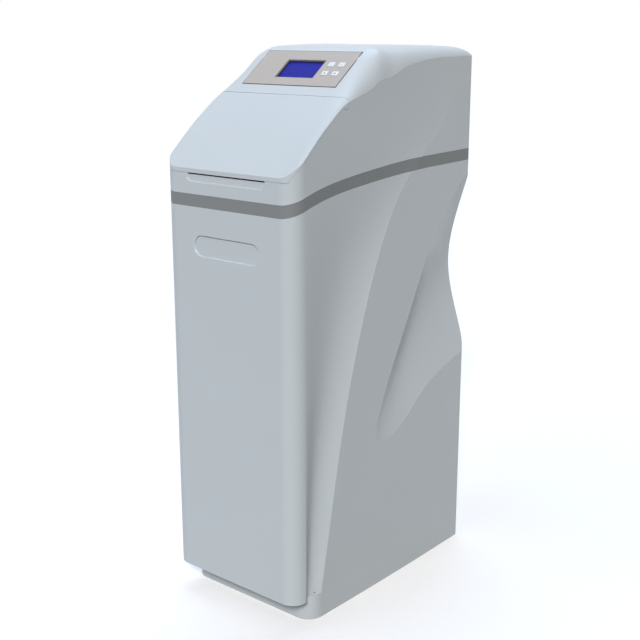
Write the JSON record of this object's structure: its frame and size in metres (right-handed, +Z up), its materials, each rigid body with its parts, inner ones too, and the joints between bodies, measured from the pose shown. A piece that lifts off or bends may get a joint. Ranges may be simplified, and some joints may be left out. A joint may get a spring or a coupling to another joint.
{
  "type": "cabinet_water_softener",
  "caption": "Tall cabinet water softener: pale grey moulded salt cabinet with wave-shaped sides, dark trim band, lift-off hood, hinged salt lid and sloping display panel.",
  "frame": {"origin": "on the floor, under the middle of the cabinet's footprint", "axes": "+X right as seen from the front, +Y to the rear, +Z up"},
  "size_m": [0.32, 0.624, 1.0542],
  "materials": {
    "shell": "moulded ABS, fine satin gloss",
    "band": "dark grey satin trim",
    "plate": "warm silver-grey printed overlay",
    "bezel": "black",
    "screen": "blue display glass",
    "button": "pale satin key",
    "board": "solder-masked circuit board",
    "tank": "wound glass fibre in resin",
    "boot": "black moulded rubber",
    "resin": "amber ion exchange beads",
    "white": "white moulded plastic",
    "noryl": "black glass filled plastic",
    "gear": "natural acetal",
    "ceramic": "lapped ceramic",
    "steel": "zinc plated steel",
    "brass": "turned brass",
    "seal": "black seal rubber",
    "tube": "natural polyethylene tube",
    "lever": "blue moulded lever"
  },
  "bodies": {
    "cabinet": {"cabinet_shell": "shell", "trim_band": "band", "resin_tank": "tank", "tank_boot": "boot", "resin_bed": "resin", "riser_tube": "white", "bottom_basket": "white", "top_basket": "white", "valve_body": "noryl", "tank_seal": "seal", "fixed_disc": "ceramic", "valve_bonnet": "noryl", "bonnet_screws": "steel", "gear_plate": "noryl", "gear_motor": "steel", "gearbox_cover": "noryl", "power_inlet": "seal", "injector_cap": "noryl", "injector_nozzle": "white", "drain_elbow": "noryl", "brine_fitting": "white", "meter_spider": "white", "meter_sensor": "noryl", "union_nuts": "noryl", "port_seals": "seal", "bypass_body": "noryl", "rotor_caps": "noryl", "inlet_nipple": "brass", "outlet_nipple": "brass", "brine_well": "white", "safety_valve_body": "white", "pickup_tube": "white", "air_check": "white", "brine_line": "tube", "salt_grid": "white", "overflow_elbow": "white", "overflow_nut": "white"},
    "disc_drive": {"moving_disc": "ceramic", "drive_shaft": "noryl", "drive_gear": "gear"},
    "pinion": {"motor_pinion": "gear"},
    "turbine": {"meter_turbine": "white"},
    "inlet_valve": {"inlet_rotor": "white", "inlet_lever": "lever"},
    "outlet_valve": {"outlet_rotor": "white", "outlet_lever": "lever"},
    "well_cap": {"brine_well_cap": "white"},
    "float": {"float_rod": "white", "brine_float": "white"},
    "hood": {"hood_shell": "shell", "lid_hinge_pins": "steel", "panel_plate": "plate", "lcd_bezel": "bezel", "lcd_screen": "screen", "display_board": "board"},
    "lid": {"salt_lid": "shell"},
    "button_down": {"button_down": "button"},
    "button_up": {"button_up": "button"},
    "button_menu": {"button_menu": "button"},
    "button_set": {"button_set": "button"}
  },
  "joints": [
    {"name": "hood_lift", "type": "slide", "parent": "cabinet", "child": "hood", "axis": [0, 0, 1], "range_m": [0, 0.3]},
    {"name": "lid_hinge", "type": "hinge", "parent": "hood", "child": "lid", "pos_m": [0, -0.12992, 0.95856], "axis": [-1, 0, 0], "range_deg": [0, 85]},
    {"name": "disc_turn", "type": "hinge", "parent": "cabinet", "child": "disc_drive", "pos_m": [0, 0.138, 0.92], "axis": [0, 0, 1], "continuous": true},
    {"name": "pinion_turn", "type": "hinge", "parent": "cabinet", "child": "pinion", "pos_m": [0, 0.0995, 0.943], "axis": [0, 0, 1], "continuous": true},
    {"name": "turbine_spin", "type": "hinge", "parent": "cabinet", "child": "turbine", "pos_m": [0.038, 0.198, 0.878], "axis": [0, 1, 0], "continuous": true},
    {"name": "inlet_valve_turn", "type": "hinge", "parent": "cabinet", "child": "inlet_valve", "pos_m": [-0.038, 0.296, 0.878], "axis": [0, 0, 1], "range_deg": [0, 90]},
    {"name": "outlet_valve_turn", "type": "hinge", "parent": "cabinet", "child": "outlet_valve", "pos_m": [0.038, 0.296, 0.878], "axis": [0, 0, -1], "range_deg": [0, 90]},
    {"name": "well_cap_lift", "type": "slide", "parent": "cabinet", "child": "well_cap", "axis": [0, 0, 1], "range_m": [0, 0.15]},
    {"name": "float_rise", "type": "slide", "parent": "cabinet", "child": "float", "axis": [0, 0, 1], "range_m": [0, 0.025]},
    {"name": "button_down_press", "type": "slide", "parent": "hood", "child": "button_down", "axis": [0, 0.606, -0.7955], "range_m": [0, 0.0008], "stiffness_N_per_m": 400, "springref_m": -0.0006},
    {"name": "button_up_press", "type": "slide", "parent": "hood", "child": "button_up", "axis": [0, 0.606, -0.7955], "range_m": [0, 0.0008], "stiffness_N_per_m": 400, "springref_m": -0.0006},
    {"name": "button_menu_press", "type": "slide", "parent": "hood", "child": "button_menu", "axis": [0, 0.606, -0.7955], "range_m": [0, 0.0008], "stiffness_N_per_m": 400, "springref_m": -0.0006},
    {"name": "button_set_press", "type": "slide", "parent": "hood", "child": "button_set", "axis": [0, 0.606, -0.7955], "range_m": [0, 0.0008], "stiffness_N_per_m": 400, "springref_m": -0.0006}
  ],
  "couplings": [
    {"joint": "pinion_turn", "follows": "disc_turn", "ratio": -3.5294}
  ]
}
